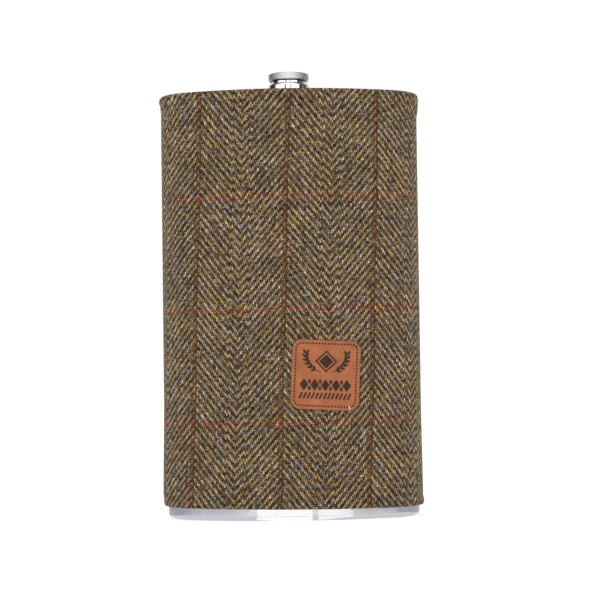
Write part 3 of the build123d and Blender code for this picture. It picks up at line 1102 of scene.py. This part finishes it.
def floor_cards():
    """Glowing grey cards on the floor beside the flask, dimmer than the floor, that show only in reflections
    in the ends of its steel foot.
    """
    s = Shader("card_grey")
    x, y, _ = s.split(s.object_place())
    near, far = 78 * MM, 300 * MM
    reach = s.distance(abs(x) - END_X, y - END_Y)
    sideways = s.spread(y, -75 * MM, -35 * MM, 1.0, 0.64)
    outwards = s.spread(reach, 55 * MM, 105 * MM, 1.0, 0.4)
    card_material = s.finish(
        Base_Color=(0.0, 0.0, 0.0, 1.0), Specular_IOR_Level=0.0, Emission_Color=(0.94, 0.96, 1.04, 1.0),
        Emission_Strength=s.math("MINIMUM", sideways, outwards),
    )
    front, middle, back, height = -140 * MM, -50 * MM, 150 * MM, 0.3 * MM
    corners, faces = [], []
    for side in (-1, 1):
        for low_x, high_x, low_y, high_y in ((near, far, front, back), (58 * MM, near, front, middle)):
            first = len(corners)
            corners += [(side * low_x, low_y, height), (side * high_x, low_y, height)]
            corners += [(side * high_x, high_y, height), (side * low_x, high_y, height)]
            faces.append(tuple(first + index for index in (0, 1, 2, 3)[::side]))
    cards = mesh_piece("floor_cards", corners, faces, card_material, smooth=False)
    cards.visible_camera = cards.visible_diffuse = cards.visible_shadow = False


def lights():
    """Two soft lamps from the front, and the strips that light the steel foot."""
    middle = (0, 0, 0.13)
    soft_light("key_left", (-0.8, -1.2, 0.9), middle, (0.5, 0.6), 3)
    soft_light("key_right", (0.9, -1.2, 0.7), middle, (0.6, 0.6), 1.5)
    low_strip("low_left", -22.5 * MM, 11.0 * MM, 0.040)
    low_strip("low_right", 14.5 * MM, 37.0 * MM, 0.023)


def camera():
    """The camera in front of the flask, with the small turns that the view has."""
    data = bpy.data.cameras.new("camera")
    data.lens = 101.96
    data.sensor_width = 36.0
    data.clip_end = 50.0
    place = Matrix.Translation((3.0 * MM, -1031.0 * MM, 95.5 * MM))
    yaw = Matrix.Rotation(-0.0021, 4, "Z")
    pitch = Matrix.Rotation(math.pi / 2 + 0.0343, 4, "X")
    roll = Matrix.Rotation(-0.0135, 4, "Z")
    made = new_object("camera", data)
    made.matrix_world = place @ yaw @ pitch @ roll
    bpy.context.scene.camera = made


# ---- the flask

make_wrap(tweed())
make_seam(sewing_thread("seam_twine", srgb(132, 112, 86), srgb(78, 64, 48), 2600.0))
make_patch(leather())
make_patch_stitches(
    sewing_thread("patch_twine", srgb(172, 136, 116), srgb(124, 88, 70), 3200.0),
    sewing_thread("pale_twine", srgb(240, 236, 230), srgb(200, 192, 184), 3200.0),
)
# The cap's steel has painted shade on its underside
make_cap(turned_steel(
    "knurled_steel", (0.53, 0.515, 0.51, 1), 0.22, 3500.0, 0.010 * MM, painted_shade=shade_under_cap, axis_y=NECK_Y,
))

satin = turned_steel("satin_steel", (0.585, 0.58, 0.62, 1), 0.12, 5200.0, 0.045 * MM)
# The shoulder plate's brushed steel has a darker colour than the body's, painted shade that tones down the
# bright ceiling it reflects
brushed_and_shaded = turned_steel("brushed_steel", (0.40, 0.395, 0.405, 1), 0.22, 2600.0, 0.05 * MM, stains=0.08)
mirror = {"colour": (0.74, 0.73, 0.73, 1), "roughness": 0.045, "groove_scale": 5200.0,
          "groove_depth": 0.002 * MM, "stains": 0.02, "axis_y": NECK_Y}
polished = turned_steel("polished_steel", **mirror)
for node, material in (
    ("body_shell", satin), ("base_plate", satin), ("shoulder_plate", brushed_and_shaded),
    ("neck_collar", polished), ("neck_spout", polished),
    # The insert gets painted shade in the groove under the cap's shell
    ("cap_insert", turned_steel("polished_insert", painted_shade=shade_in_groove, **mirror)),
    ("cap_seal", rubber()), ("wrap_backing", felt()),
):
    dress(node, material)

white_stage()
floor_cards()
lights()
camera()
